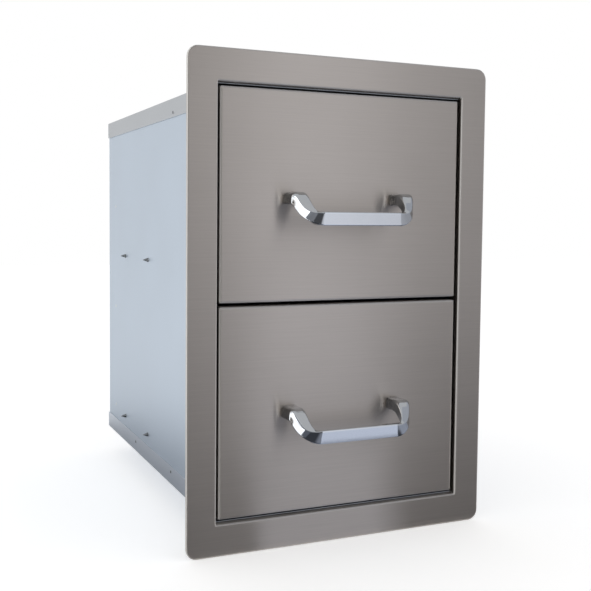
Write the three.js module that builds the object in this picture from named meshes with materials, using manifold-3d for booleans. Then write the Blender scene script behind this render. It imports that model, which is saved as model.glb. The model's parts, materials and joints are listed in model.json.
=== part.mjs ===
// Outdoor kitchen drawer unit: a folded stainless face frame with a sheet-metal cabinet behind it,
// and two drawers on full-extension ball slides.
// Millimetres, +Z up. Seen from in front, +X is to the right and +Y goes into the cabinet.
// The origin is on the back plane of the face frame, in the middle of its lower back lip.

import * as THREE from 'three';
import { mergeVertices } from 'three/addons/utils/BufferGeometryUtils.js';
import Module from 'manifold-3d';

const wasm = await Module();
wasm.setup();

// Driving dimensions of the face frame
const frameWidth = 381;
const frameHeight = 558.8;
const frameCornerRadius = 12.7;
const borderWidth = 34.9;
const borderHeight = 36.3;
const openingCornerRadius = 0.8;
const frameSheet = 1;
const frameBend = 1.9;
const flangeDepth = 4;
const backLip = 10;
const returnDepth = 20;

// Driving dimensions of the cabinet box
const cabinetSheet = 0.8;
const cabinetBend = 1.2;
const rearSpace = 45.7;
const stripHeight = 23.3;
const sideSetback = 3;
const tuckClearance = 0.7;
const tuckStart = 4;
const backFlangeClearance = 3.7;

// Driving dimensions of the drawers
const frontInset = 3;
const revealSide = 3.4;
const revealTop = 4.1;
const revealMiddle = 4.2;
const revealBottom = 4.1;
const frontDepth = 17;
const frontSheet = 1;
const frontBend = 2.6;
const frontCornerRadius = 1.5;
const linerFlange = 9;
const drawerSheet = 0.8;
const drawerBend = 1.2;
const boxRise = 6;
const boxTopSpace = 40.4;
const boxFlange = 12;
const hemHeight = 7;
const hemGap = 1.2;

// Driving dimensions of the ball slides
const slideLength = 450;
const slideHeight = 45;
const slideThickness = 12.7;
const slideRise = 35;
const railSheet = 1.2;
const railBend = 2;
const railLipDepth = 11;
const ballDiameter = 3.4;
const ballPlay = 0.3;
const cageSheet = 0.6;
const cageBend = 0.8;
const cageLength = 200;
const cageRearOffset = 125;
const cageFlange = 6.2;
const cageBallCount = 5;
const cageEndMargin = 8;

// Driving dimensions of the fasteners
const railHolePitch = 32;
const railFirstHole = 37;
const railEndSpace = 45;
const middleHoleSteps = 4;
const railScrewRadius = 2.8;
const railScrewHead = 3.9;
const railScrewHeadHeight = 1.3;
const railScrewReach = 8;
const railScrewPoint = 6.5;
const handleScrewRadius = 2;
const handleScrewHead = 3.9;
const handleScrewHeadHeight = 2.3;
const handleScrewGrip = 9;
const holeClearance = 0.3;

// Driving dimensions of the pull handles
const handleCentres = 136;
const handleReach = 46.9;
const handleDrop = 22.5;
const handleFromMiddle = 2;
const footThickness = 17.3;
const footHeight = 13.7;
const barThickness = 5.8;
const barHeight = 15.3;
const barStraight = 107.6;
const kneeDepth = 24.7;
const kneeSquareness = 2.4;
const armSag = 1.3;
const handleChamfer = 1.5;

// Fits shared by all pieces
const seam = 0.3;
const cutOverrun = 2;

// Shares of other sizes: how much of a leg a bend may take, the tightest corner of a tray, and how
// much of a bend's inner radius the flat cut across it takes
const bendLegShare = 0.45;
const tightestCornerShare = 0.15;
const innerCutShare = 0.6;

// Fineness of round shapes
const cornerSteps = 6;
const bendSteps = 3;
const roundSteps = 12;
const ballSides = 6;
const ballRings = 4;
const armSteps = 11;

// Levels and planes that follow from the dimensions
const openingWidth = frameWidth - 2 * borderWidth;
const openingHeight = frameHeight - 2 * borderHeight;
const frameBottom = -backLip / 2;
const frameMiddle = frameBottom + frameHeight / 2;
const openingBottom = frameMiddle - openingHeight / 2;
const openingTop = frameMiddle + openingHeight / 2;
const flangeFace = -flangeDepth;
const returnRear = flangeFace + returnDepth;
const frontFace = flangeFace + frontInset;
const frontRear = frontFace + frontDepth;
const frontWidth = openingWidth - 2 * revealSide;
const frontHeight = (openingHeight - revealTop - revealMiddle - revealBottom) / 2;
const boxHeight = frontHeight - boxRise - boxTopSpace;
const cabinetInner = openingWidth / 2 + frameSheet + seam;
const cabinetOuter = cabinetInner + cabinetSheet;
const stripOuter = cabinetOuter + seam + cabinetSheet;
const slideFront = Math.max(returnRear, frontRear) + seam;
const slideRear = slideFront + slideLength;
const sideRear = slideRear + rearSpace;
const cabinetDepth = sideRear + sideSetback;
const boxOuter = cabinetInner - slideThickness - seam;
const boxFront = frontRear + seam;
const boxRear = boxFront + slideLength;

// Screws sit in the first hole of the slide, in its last one and a few steps before that
const rearHoleStep = Math.floor((slideLength - railFirstHole - railEndSpace) / railHolePitch);
const railHoleSteps = { front: 0, middle: rearHoleStep - middleHoleSteps, rear: rearHoleStep };

// The three rails nest in one another with a ball between each pair of flanges
const raceGap = ballDiameter + 2 * ballPlay;
const outerHalf = slideHeight / 2;
const middleHalf = outerHalf - railSheet - raceGap;
const innerHalf = middleHalf - railSheet - raceGap;
const outerRaceHalf = outerHalf - railSheet - raceGap / 2;
const innerRaceHalf = middleHalf - railSheet - raceGap / 2;

// Depths of the webs, from the side panel towards the drawer: outer rail, screw heads, outer cage,
// middle rail, inner cage, and then the lips of the inner rail
const outerCageDepth = railSheet + seam + railScrewHeadHeight + seam;
const middleWebDepth = outerCageDepth + cageSheet + seam;
const innerCageDepth = middleWebDepth + railSheet + seam;
const innerLipDepth = innerCageDepth + cageSheet + seam;

const drawers = {
  lower: openingBottom + revealBottom,
  upper: openingBottom + revealBottom + frontHeight + revealMiddle,
};
const sides = { left: -1, right: 1 };

const finishes = {
  brushedSteel: { color: 0xa39f99, roughness: 0.38, metalness: 0.9 },
  cabinetSteel: { color: 0xc3ccd6, roughness: 0.55, metalness: 0.7 },
  stripSteel: { color: 0xaeb1b3, roughness: 0.5, metalness: 0.7 },
  drawerSteel: { color: 0xb2b1ae, roughness: 0.45, metalness: 0.85 },
  railZinc: { color: 0xb8bcc0, roughness: 0.4, metalness: 0.85 },
  cageSteel: { color: 0x8f9296, roughness: 0.45, metalness: 0.8 },
  chrome: { color: 0xd9dce0, roughness: 0.08, metalness: 1 },
  screwSteel: { color: 0x55585a, roughness: 0.45, metalness: 0.8 },
};

const part = new THREE.Group();

function addPiece(name, geometry, finish) {
  geometry.computeVertexNormals();
  const mesh = new THREE.Mesh(geometry, new THREE.MeshStandardMaterial(finishes[finish]));
  mesh.name = name;
  part.add(mesh);
}

// Keeps positions alone, merges shared corners and turns the faces outwards
function closedSurface(geometry) {
  const bare = new THREE.BufferGeometry();
  bare.setAttribute('position', geometry.getAttribute('position'));
  if (geometry.index) bare.setIndex(geometry.index);
  const merged = mergeVertices(bare);
  if (signedVolume(merged) < 0) merged.setIndex(Array.from(merged.index.array).reverse());
  return merged;
}

function signedVolume(geometry) {
  const points = geometry.getAttribute('position');
  const corner = (k) => new THREE.Vector3().fromBufferAttribute(points, geometry.index.getX(k));
  let sixfold = 0;
  for (let k = 0; k < geometry.index.count; k += 3) {
    sixfold += corner(k).dot(corner(k + 1).cross(corner(k + 2)));
  }
  return sixfold;
}

function toSolid(geometry) {
  const surface = closedSurface(geometry);
  const vertProperties = Float32Array.from(surface.getAttribute('position').array);
  const triVerts = Uint32Array.from(surface.index.array);
  return new wasm.Manifold(new wasm.Mesh({ numProp: 3, vertProperties, triVerts }));
}

function toGeometry(solid) {
  const { vertProperties, triVerts } = solid.getMesh();
  const geometry = new THREE.BufferGeometry();
  geometry.setAttribute('position', new THREE.BufferAttribute(vertProperties, 3));
  geometry.setIndex(new THREE.BufferAttribute(triVerts, 1));
  return geometry;
}

function joined(geometries) {
  return toGeometry(geometries.map(toSolid).reduce((whole, next) => whole.add(next)));
}

function drilled(geometry, tools) {
  return toGeometry(tools.map(toSolid).reduce((whole, tool) => whole.subtract(tool), toSolid(geometry)));
}

function block(x, y, z) {
  const box = new THREE.BoxGeometry(x[1] - x[0], y[1] - y[0], z[1] - z[0]);
  return box.translate((x[0] + x[1]) / 2, (y[0] + y[1]) / 2, (z[0] + z[1]) / 2);
}

// A section drawn in two axes and drawn out along the third: along Y it is drawn in X and Z,
// along Z it is drawn in X and Y
function drawnOut(section, along, from, to) {
  const shape = new THREE.Shape(section);
  const geometry = new THREE.ExtrudeGeometry(shape, { depth: to - from, bevelEnabled: false, steps: 1 });
  geometry.translate(0, 0, from);
  const swapYZ = new THREE.Matrix4().set(1, 0, 0, 0, 0, 0, 1, 0, 0, 1, 0, 0, 0, 0, 0, 1);
  if (along === 'y') geometry.applyMatrix4(swapYZ);
  return closedSurface(geometry);
}

// Rounds the corners of an open line, as a folded sheet is rounded at its bends. A bend takes less
// than half of the leg on either side of it.
function roundedBends(points, radius) {
  const line = [points[0]];
  for (let k = 1; k < points.length - 1; k++) {
    const back = points[k - 1].clone().sub(points[k]);
    const ahead = points[k + 1].clone().sub(points[k]);
    const reach = Math.min(radius, back.length() * bendLegShare, ahead.length() * bendLegShare);
    const start = points[k].clone().add(back.setLength(reach));
    const end = points[k].clone().add(ahead.setLength(reach));
    const arc = new THREE.QuadraticBezierCurve(start, points[k], end);
    line.push(...arc.getPoints(bendSteps));
  }
  line.push(points[points.length - 1]);
  return line;
}

// The outline of a sheet folded along a centre line
function foldedSheet(corners, sheet, bend) {
  const line = roundedBends(corners.map(([u, v]) => new THREE.Vector2(u, v)), bend);
  const one = [];
  const other = [];
  line.forEach((point, k) => {
    const before = k > 0 ? point.clone().sub(line[k - 1]).normalize() : null;
    const after = k < line.length - 1 ? line[k + 1].clone().sub(point).normalize() : null;
    const along = (before ?? after).clone().add(after ?? before).normalize();
    const across = new THREE.Vector2(-along.y, along.x);
    const spread = sheet / 2 / across.dot(new THREE.Vector2(-(after ?? before).y, (after ?? before).x));
    one.push(point.clone().addScaledVector(across, spread));
    other.push(point.clone().addScaledVector(across, -spread));
  });
  return [...one, ...other.reverse()];
}

function roundedRectangle(halfWidth, halfHeight, radius, middle, y) {
  const ring = [];
  const corners = [[1, 1], [-1, 1], [-1, -1], [1, -1]];
  corners.forEach(([signX, signZ], quarter) => {
    for (let k = 0; k <= cornerSteps; k++) {
      const angle = (quarter + k / cornerSteps) * Math.PI / 2;
      const x = signX * (halfWidth - radius) + radius * Math.cos(angle);
      const z = signZ * (halfHeight - radius) + radius * Math.sin(angle);
      ring.push(new THREE.Vector3(x, y, middle + z));
    }
  });
  return ring;
}

// A closed surface through rings of equal point counts, whose ends are capped or meet each other
function skinned(rings, endless) {
  const count = rings[0].length;
  const index = [];
  const bands = endless ? rings.length : rings.length - 1;
  for (let band = 0; band < bands; band++) {
    const here = band * count;
    const there = ((band + 1) % rings.length) * count;
    for (let k = 0; k < count; k++) {
      const next = (k + 1) % count;
      index.push(here + k, here + next, there + next, here + k, there + next, there + k);
    }
  }
  if (!endless) index.push(...cap(rings[0], 0, true), ...cap(rings.at(-1), bands * count, false));
  const geometry = new THREE.BufferGeometry().setFromPoints(rings.flat());
  geometry.setIndex(index);
  return closedSurface(geometry);
}

function cap(ring, offset, first) {
  const contour = ring.map((point) => new THREE.Vector2(point.x, point.z));
  const clockwise = THREE.ShapeUtils.isClockWise(contour);
  const triangles = THREE.ShapeUtils.triangulateShape(contour, []);
  const turn = (triangle) => (first !== clockwise ? [...triangle].reverse() : triangle);
  return triangles.flatMap(turn).map((k) => k + offset);
}

// A shallow tray of folded sheet: closed at one plane, open at the other
function tray(size, closedY, openY, middle) {
  const inward = Math.sign(openY - closedY);
  const ring = (inset, y) => roundedRectangle(
    size.width / 2 - inset,
    size.height / 2 - inset,
    Math.max(size.corner - inset, size.corner * tightestCornerShare),
    middle,
    y,
  );
  const innerCut = (size.bend - size.sheet) * innerCutShare;
  const rings = [
    ring(size.sheet + innerCut, closedY + inward * size.sheet),
    ring(size.sheet, closedY + inward * (size.sheet + innerCut)),
    ring(size.sheet, openY),
    ring(0, openY),
  ];
  for (let k = 0; k <= bendSteps; k++) {
    const angle = (k / bendSteps) * Math.PI / 2;
    const inset = size.bend * (1 - Math.cos(angle));
    rings.push(ring(inset, closedY + inward * size.bend * (1 - Math.sin(angle))));
  }
  return skinned(rings, false);
}

function rodAlongX(radius, x, y, z) {
  const rod = new THREE.CylinderGeometry(radius, radius, x[1] - x[0], roundSteps);
  rod.rotateZ(Math.PI / 2);
  return rod.translate((x[0] + x[1]) / 2, y, z);
}

function rodAlongY(radius, y, x, z) {
  const rod = new THREE.CylinderGeometry(radius, radius, y[1] - y[0], roundSteps);
  return rod.translate(x, (y[0] + y[1]) / 2, z);
}

// Face frame: one folded section carried round the opening, with a turned-back outer edge, a flat
// back lip and a return into the cabinet
function makeFaceFrame() {
  const opening = (offset, y) => roundedRectangle(
    openingWidth / 2 + offset,
    openingHeight / 2 + offset,
    openingCornerRadius + offset,
    frameMiddle,
    y,
  );
  const outside = (inset, y) => roundedRectangle(
    frameWidth / 2 - inset,
    frameHeight / 2 - inset,
    Math.max(frameCornerRadius - inset, openingCornerRadius),
    frameMiddle,
    y,
  );
  const quarter = (place) => {
    const arc = [];
    for (let k = 0; k <= bendSteps; k++) {
      const angle = (k / bendSteps) * Math.PI / 2;
      arc.push(place(frameBend * (1 - Math.sin(angle)), frameBend * (1 - Math.cos(angle))));
    }
    return arc;
  };
  const rings = [
    outside(backLip, 0),
    ...quarter((inset, rise) => outside(inset, -rise)),
    ...quarter((rise, inset) => outside(inset, flangeFace + rise)),
    ...quarter((offset, rise) => opening(offset, flangeFace + rise)),
    opening(0, returnRear),
    opening(frameSheet, returnRear),
    opening(frameSheet, flangeFace + frameSheet),
    outside(frameSheet, flangeFace + frameSheet),
    outside(frameSheet, -frameSheet),
    outside(backLip, -frameSheet),
  ];
  return skinned(rings, true);
}

// Top and bottom panels tuck into the frame's return and fold over the outside of the side panels
function makeCoverPanel(outerZ, inward) {
  const sheetZ = outerZ + inward * cabinetSheet / 2;
  const flangeX = stripOuter - cabinetSheet / 2;
  const edgeZ = outerZ + inward * stripHeight;
  const line = [[-flangeX, edgeZ], [-flangeX, sheetZ], [flangeX, sheetZ], [flangeX, edgeZ]];
  const section = foldedSheet(line, cabinetSheet, cabinetBend);
  const body = drawnOut(section, 'y', slideFront, cabinetDepth);
  const tuckHalf = openingWidth / 2 - seam;
  const heights = [outerZ, outerZ + inward * cabinetSheet].sort((a, b) => a - b);
  const tuck = block([-tuckHalf, tuckHalf], [tuckStart, slideFront + cabinetSheet], heights);
  return joined([body, tuck]);
}

const topOuter = openingTop - tuckClearance;
const bottomOuter = openingBottom + tuckClearance;
const sideBottom = bottomOuter + cabinetSheet + seam;
const sideTop = topOuter - cabinetSheet - seam;

function slideLevel(drawer) {
  return drawers[drawer] + slideRise;
}

function railHoles() {
  return Object.entries(railHoleSteps).map(([place, step]) => ({
    place,
    y: slideFront + railFirstHole + step * railHolePitch,
  }));
}

function railDrills(from, to) {
  const radius = railScrewRadius + holeClearance;
  return Object.keys(drawers).flatMap((drawer) => railHoles().map(({ y }) => (
    rodAlongX(radius, [from, to].sort((a, b) => a - b), y, slideLevel(drawer)))));
}

function makeSidePanel(sign) {
  const x = [sign * cabinetInner, sign * cabinetOuter].sort((a, b) => a - b);
  const plate = block(x, [0, sideRear], [sideBottom, sideTop]);
  return drilled(plate, railDrills(x[0] - cutOverrun, x[1] + cutOverrun));
}

// Back panel: a pan whose long edges turn forward inside the side panels
function makeBackPanel() {
  const edgeX = cabinetInner - seam - cabinetSheet / 2;
  const plateY = sideRear - cabinetSheet / 2;
  const frontY = slideRear + backFlangeClearance;
  const line = [[-edgeX, frontY], [-edgeX, plateY], [edgeX, plateY], [edgeX, frontY]];
  const section = foldedSheet(line, cabinetSheet, cabinetBend);
  return drawnOut(section, 'z', sideBottom, sideTop);
}

// A rail or cage section is drawn from the cabinet side inwards: depth 0 lies on the side panel
function railX(sign, depth) {
  return sign * (cabinetInner - depth);
}

function channel(sign, webDepth, lipDepth, halfHeight, level, sheet, bend) {
  const web = railX(sign, webDepth);
  const tip = railX(sign, lipDepth);
  const half = halfHeight - sheet / 2;
  const line = [[tip, level + half], [web, level + half], [web, level - half], [tip, level - half]];
  return foldedSheet(line, sheet, bend);
}

function makeOuterRail(drawer, sign) {
  const web = railSheet / 2;
  const section = channel(sign, web, railLipDepth, outerHalf, slideLevel(drawer), railSheet, railBend);
  const rail = drawnOut(section, 'y', slideFront, slideRear);
  const ends = [railX(sign, -cutOverrun), railX(sign, railSheet + cutOverrun)];
  return drilled(rail, railDrills(...ends));
}

function makeMiddleRail(drawer, sign) {
  const web = middleWebDepth + railSheet / 2;
  const level = slideLevel(drawer);
  const section = channel(sign, web, railLipDepth, middleHalf, level, railSheet, railBend);
  return drawnOut(section, 'y', slideFront, slideRear);
}

function makeInnerRail(drawer, sign) {
  const web = slideThickness - railSheet / 2;
  const level = slideLevel(drawer);
  const section = channel(sign, web, innerLipDepth, innerHalf, level, railSheet, railBend);
  return drawnOut(section, 'y', slideFront, slideRear);
}

// Ball cage: a thin folded strip between two rails, with a row of balls held in each flange
function makeCage(drawer, sign, webDepth, raceHalf) {
  const level = slideLevel(drawer);
  const web = webDepth + cageSheet / 2;
  const tip = webDepth + cageFlange;
  const half = raceHalf + cageSheet / 2;
  const section = channel(sign, web, tip, half, level, cageSheet, cageBend);
  const rear = slideRear - cageRearOffset;
  const front = rear - cageLength;
  const strip = drawnOut(section, 'y', front, rear);
  const firstBall = front + cageEndMargin;
  const ballPitch = (cageLength - 2 * cageEndMargin) / (cageBallCount - 1);
  const ballX = railX(sign, webDepth + cageFlange - ballDiameter / 2);
  const balls = [];
  for (let k = 0; k < cageBallCount; k++) {
    for (const side of [1, -1]) {
      const ball = new THREE.SphereGeometry(ballDiameter / 2, ballSides, ballRings);
      balls.push(ball.translate(ballX, firstBall + k * ballPitch, level + side * raceHalf));
    }
  }
  return joined([strip, ...balls]);
}

// Screws are turned about Z, head down, and then laid along their axis
function turnedScrew(radius, head, headHeight, length, point) {
  const profile = [
    [0, 0], [head / 2, 0], [head, headHeight / 2], [head, headHeight],
    [radius, headHeight], [radius, headHeight + length - point], [0, headHeight + length],
  ];
  const outline = profile.map(([r, h]) => new THREE.Vector2(r, h));
  return new THREE.LatheGeometry(outline, roundSteps);
}

// Rail screw: driven from inside the rail, its point stands out of the side panel
function makeRailScrew(drawer, sign, y) {
  const underHead = railSheet;
  const length = underHead + cabinetSheet + railScrewReach;
  const screw = turnedScrew(
    railScrewRadius, railScrewHead, railScrewHeadHeight, length, railScrewPoint,
  );
  screw.translate(0, -railScrewHeadHeight, 0);
  screw.rotateZ(-sign * Math.PI / 2);
  screw.translate(railX(sign, underHead + seam), y, slideLevel(drawer));
  return closedSurface(screw);
}

function handleLevel(drawer) {
  return drawers[drawer] + frontHeight / 2 - handleFromMiddle;
}

// Screw holes through the front, at the two handle feet
function handleDrills(drawer, from, to, radius) {
  return Object.values(sides).map((sign) => (
    rodAlongY(radius, [from, to], sign * handleCentres / 2, handleLevel(drawer))));
}

function makeFrontPanel(drawer) {
  const size = {
    width: frontWidth, height: frontHeight, sheet: frontSheet, bend: frontBend, corner: frontCornerRadius,
  };
  const pan = tray(size, frontFace, frontRear, drawers[drawer] + frontHeight / 2);
  const radius = handleScrewRadius + holeClearance;
  const ends = [frontFace - cutOverrun, frontFace + frontSheet + cutOverrun];
  return drilled(pan, handleDrills(drawer, ...ends, radius));
}

// Front liner: a tray that closes the back of the front panel
function makeFrontLiner(drawer) {
  const inset = 2 * (frontSheet + seam);
  const size = {
    width: frontWidth - inset,
    height: frontHeight - inset,
    sheet: drawerSheet,
    bend: drawerBend,
    corner: frontCornerRadius,
  };
  const liner = tray(size, frontRear, frontRear - linerFlange, drawers[drawer] + frontHeight / 2);
  const radius = handleScrewRadius + holeClearance;
  const ends = [frontRear - drawerSheet - cutOverrun, frontRear + cutOverrun];
  return drilled(liner, handleDrills(drawer, ...ends, radius));
}

// Box side: hemmed along the top, turned in along the bottom and against the front liner
function makeBoxSide(drawer, sign) {
  const bottom = drawers[drawer] + boxRise;
  const plateX = sign * (boxOuter - drawerSheet / 2);
  const hemX = plateX + sign * (drawerSheet + hemGap);
  const hemTop = bottom + boxHeight - drawerSheet / 2;
  const footZ = bottom + drawerSheet / 2;
  const line = [
    [hemX, hemTop - hemHeight], [hemX, hemTop], [plateX, hemTop],
    [plateX, footZ], [plateX - sign * boxFlange, footZ],
  ];
  const section = foldedSheet(line, drawerSheet, drawerBend);
  const side = drawnOut(section, 'y', boxFront, boxRear);
  const flangeX = [plateX, plateX - sign * boxFlange].sort((a, b) => a - b);
  const flangeZ = [footZ, hemTop - hemHeight];
  const frontFlange = block(flangeX, [boxFront, boxFront + drawerSheet], flangeZ);
  return joined([side, frontFlange]);
}

function makeBoxBack(drawer) {
  const bottom = drawers[drawer] + boxRise + drawerSheet + seam;
  const edgeX = boxOuter - drawerSheet - seam - drawerSheet / 2;
  const plateY = boxRear - drawerSheet / 2;
  const frontY = boxRear - boxFlange;
  const line = [[-edgeX, frontY], [-edgeX, plateY], [edgeX, plateY], [edgeX, frontY]];
  const section = foldedSheet(line, drawerSheet, drawerBend);
  const top = drawers[drawer] + boxRise + boxHeight - hemHeight;
  return drawnOut(section, 'z', bottom + drawerSheet + seam, top);
}

function makeBoxBottom(drawer) {
  const half = boxOuter - drawerSheet - seam;
  const low = drawers[drawer] + boxRise + drawerSheet + seam;
  const y = [boxFront + drawerSheet + seam, boxRear];
  return block([-half, half], y, [low, low + drawerSheet]);
}

// A smooth change from 0 to 1, level at both ends
function eased(share) {
  return share * share * (3 - 2 * share);
}

// The handle's centre line on one side, from the end of its straight foot: a quarter turn to the
// bar, a little squarer than an ellipse, while it drops to the bar's level with a slight sag
class HandleArm extends THREE.Curve {
  constructor(sign) {
    super();
    this.sign = sign;
  }

  getPoint(share) {
    const angle = share * Math.PI / 2;
    const power = 2 / kneeSquareness;
    const kneeWidth = (handleCentres - barStraight) / 2;
    const armStraight = handleReach - barThickness / 2 - kneeDepth;
    const x = barStraight / 2 + kneeWidth * Math.cos(angle) ** power;
    const y = -armStraight - kneeDepth * Math.sin(angle) ** power;
    const drop = handleDrop * eased(share) + armSag * Math.sin(Math.PI * share) ** 2;
    return new THREE.Vector3(this.sign * x, y, -drop);
  }
}

function handleLine(sign) {
  const arm = new HandleArm(sign);
  const foot = new THREE.Vector3(sign * handleCentres / 2, 0, 0);
  const stations = [{ centre: foot, heading: new THREE.Vector3(0, -1, 0), share: 0 }];
  for (let k = 0; k <= armSteps; k++) {
    const share = k / armSteps;
    stations.push({ centre: arm.getPoint(share), heading: arm.getTangent(share), share });
  }
  return stations;
}

// Section of the handle square to its line: a flat strap with bevelled edges
function handleRing(station, sign) {
  const ease = eased(station.share);
  const halfThick = THREE.MathUtils.lerp(footThickness, barThickness, ease) / 2;
  const halfTall = THREE.MathUtils.lerp(footHeight, barHeight, ease) / 2;
  const heading = station.heading.clone().multiplyScalar(sign);
  const tall = new THREE.Vector3(0, 0, 1).addScaledVector(heading, -heading.z).normalize();
  const thick = new THREE.Vector3().crossVectors(heading, tall);
  const bevel = handleChamfer;
  const outline = [
    [halfThick, halfTall - bevel], [halfThick - bevel, halfTall],
    [bevel - halfThick, halfTall], [-halfThick, halfTall - bevel],
    [-halfThick, bevel - halfTall], [bevel - halfThick, -halfTall],
    [halfThick - bevel, -halfTall], [halfThick, bevel - halfTall],
  ];
  return outline.map(([u, v]) => (
    station.centre.clone().addScaledVector(thick, u).addScaledVector(tall, v)));
}

function makeHandle(drawer) {
  const left = handleLine(-1).map((station) => handleRing(station, 1));
  const right = handleLine(1).map((station) => handleRing(station, -1)).reverse();
  const strap = skinned([...left, ...right], false);
  strap.translate(0, frontFace - seam, handleLevel(drawer));
  const radius = handleScrewRadius + holeClearance;
  const ends = [frontFace - handleScrewGrip - cutOverrun, frontFace + cutOverrun];
  return drilled(strap, handleDrills(drawer, ...ends, radius));
}

// Handle screw: its head lies inside the drawer and it reaches into the handle's foot
function makeHandleScrew(drawer, sign) {
  const length = frontDepth + seam + handleScrewGrip;
  const screw = turnedScrew(
    handleScrewRadius, handleScrewHead, handleScrewHeadHeight, length, handleScrewRadius,
  );
  screw.rotateX(Math.PI);
  screw.translate(sign * handleCentres / 2, boxFront + handleScrewHeadHeight, handleLevel(drawer));
  return closedSurface(screw);
}

addPiece('face_frame', makeFaceFrame(), 'brushedSteel');
addPiece('top_panel', makeCoverPanel(topOuter, -1), 'stripSteel');
addPiece('bottom_panel', makeCoverPanel(bottomOuter, 1), 'stripSteel');
addPiece('back_panel', makeBackPanel(), 'cabinetSteel');
for (const [side, sign] of Object.entries(sides)) {
  addPiece(`side_panel_${side}`, makeSidePanel(sign), 'cabinetSteel');
}

for (const drawer of Object.keys(drawers)) {
  addPiece(`${drawer}_front_panel`, makeFrontPanel(drawer), 'brushedSteel');
  addPiece(`${drawer}_front_liner`, makeFrontLiner(drawer), 'drawerSteel');
  addPiece(`${drawer}_box_back`, makeBoxBack(drawer), 'drawerSteel');
  addPiece(`${drawer}_box_bottom`, makeBoxBottom(drawer), 'drawerSteel');
  addPiece(`${drawer}_handle`, makeHandle(drawer), 'chrome');
  for (const [side, sign] of Object.entries(sides)) {
    addPiece(`${drawer}_box_side_${side}`, makeBoxSide(drawer, sign), 'drawerSteel');
    addPiece(`${drawer}_handle_screw_${side}`, makeHandleScrew(drawer, sign), 'railZinc');
    addPiece(`${drawer}_outer_rail_${side}`, makeOuterRail(drawer, sign), 'railZinc');
    addPiece(`${drawer}_middle_rail_${side}`, makeMiddleRail(drawer, sign), 'railZinc');
    addPiece(`${drawer}_inner_rail_${side}`, makeInnerRail(drawer, sign), 'railZinc');
    const outerCage = makeCage(drawer, sign, outerCageDepth, outerRaceHalf);
    addPiece(`${drawer}_outer_ball_cage_${side}`, outerCage, 'cageSteel');
    const innerCage = makeCage(drawer, sign, innerCageDepth, innerRaceHalf);
    addPiece(`${drawer}_inner_ball_cage_${side}`, innerCage, 'cageSteel');
    for (const { place, y } of railHoles()) {
      addPiece(`${drawer}_rail_screw_${side}_${place}`, makeRailScrew(drawer, sign, y), 'screwSteel');
    }
  }
}

export default part;
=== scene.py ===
# %% [markdown]
# # A steel drawer unit for an outdoor kitchen
# This lesson dresses a measured model of a built-in double drawer. The solids come from CAD and stay
# as they are. Blender adds the finishes, the polished handles, the threads of the screws, the small
# fasteners, and the light. The first step loads the solids, whose sizes every later step reads.

# %% Load the solids
import json
import math

import bmesh
import bpy
from mathutils import Matrix, Vector


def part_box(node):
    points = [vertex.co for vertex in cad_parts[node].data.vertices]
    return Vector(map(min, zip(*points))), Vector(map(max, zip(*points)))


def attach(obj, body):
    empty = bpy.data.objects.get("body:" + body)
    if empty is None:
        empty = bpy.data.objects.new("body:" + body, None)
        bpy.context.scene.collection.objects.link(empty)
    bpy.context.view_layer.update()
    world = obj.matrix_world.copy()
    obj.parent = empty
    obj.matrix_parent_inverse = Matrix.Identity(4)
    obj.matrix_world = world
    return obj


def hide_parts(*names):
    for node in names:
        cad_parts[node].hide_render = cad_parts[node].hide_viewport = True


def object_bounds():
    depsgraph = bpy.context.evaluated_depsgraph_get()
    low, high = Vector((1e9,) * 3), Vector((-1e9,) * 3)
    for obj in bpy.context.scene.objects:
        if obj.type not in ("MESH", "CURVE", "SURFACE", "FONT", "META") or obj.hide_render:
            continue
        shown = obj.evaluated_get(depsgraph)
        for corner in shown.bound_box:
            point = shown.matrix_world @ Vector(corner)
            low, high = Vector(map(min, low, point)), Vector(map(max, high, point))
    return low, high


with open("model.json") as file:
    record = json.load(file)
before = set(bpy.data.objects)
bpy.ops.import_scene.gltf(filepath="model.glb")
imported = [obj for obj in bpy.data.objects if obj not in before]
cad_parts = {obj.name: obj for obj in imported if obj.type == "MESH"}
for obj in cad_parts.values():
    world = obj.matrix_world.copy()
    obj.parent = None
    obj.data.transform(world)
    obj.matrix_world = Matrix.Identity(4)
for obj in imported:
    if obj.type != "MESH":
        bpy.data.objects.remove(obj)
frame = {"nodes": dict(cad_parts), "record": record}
cad_low, cad_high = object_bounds()
nodes = frame["nodes"]
mm = 0.001
levels = ("lower", "upper")
sides = {"left": -1, "right": 1}
print("solids:", len(nodes), "size in mm:", [round(v / mm, 1) for v in cad_high - cad_low])

# %% [markdown]
# ## The camera
# A picture of a box holds its own viewpoint: the corners of the frame and of the cabinet were solved
# for the place, the turn and the lens of the camera. The picture was cropped a little off centre, and
# the lens shift stands for that. A lens of about 56 mm on a 36 mm sensor gives the gentle perspective.

# %% Place the camera
picture_side = 591
sensor_width = 36.0
focal_pixels = 919.64
principal_point = (290.93, 269.93)
camera_place = Vector((-484.62, -948.61, 372.42)) * mm
camera_turn = math.radians(-23.784)
camera_tilt = math.radians(-3.323)
camera_roll = math.radians(-0.544)


def camera_matrix():
    turn = Matrix.Rotation(camera_turn, 3, "Z")
    tilt = Matrix.Rotation(camera_tilt, 3, "X")
    roll = Matrix.Rotation(camera_roll, 3, "Y")
    right, ahead, up = (turn @ tilt @ roll).transposed()
    axes = Matrix((right, up, -ahead)).transposed()
    return Matrix.Translation(camera_place) @ axes.to_4x4()


camera_data = bpy.data.cameras.new("photograph_view")
camera_data.sensor_width = sensor_width
camera_data.lens = focal_pixels * sensor_width / picture_side
camera_data.shift_x = (picture_side / 2 - principal_point[0]) / picture_side
camera_data.shift_y = (principal_point[1] - picture_side / 2) / picture_side
camera = bpy.data.objects.new("photograph_view", camera_data)
bpy.context.scene.collection.objects.link(camera)
camera.matrix_world = camera_matrix()
bpy.context.scene.camera = camera
print("lens in mm:", round(camera_data.lens, 2))

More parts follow.
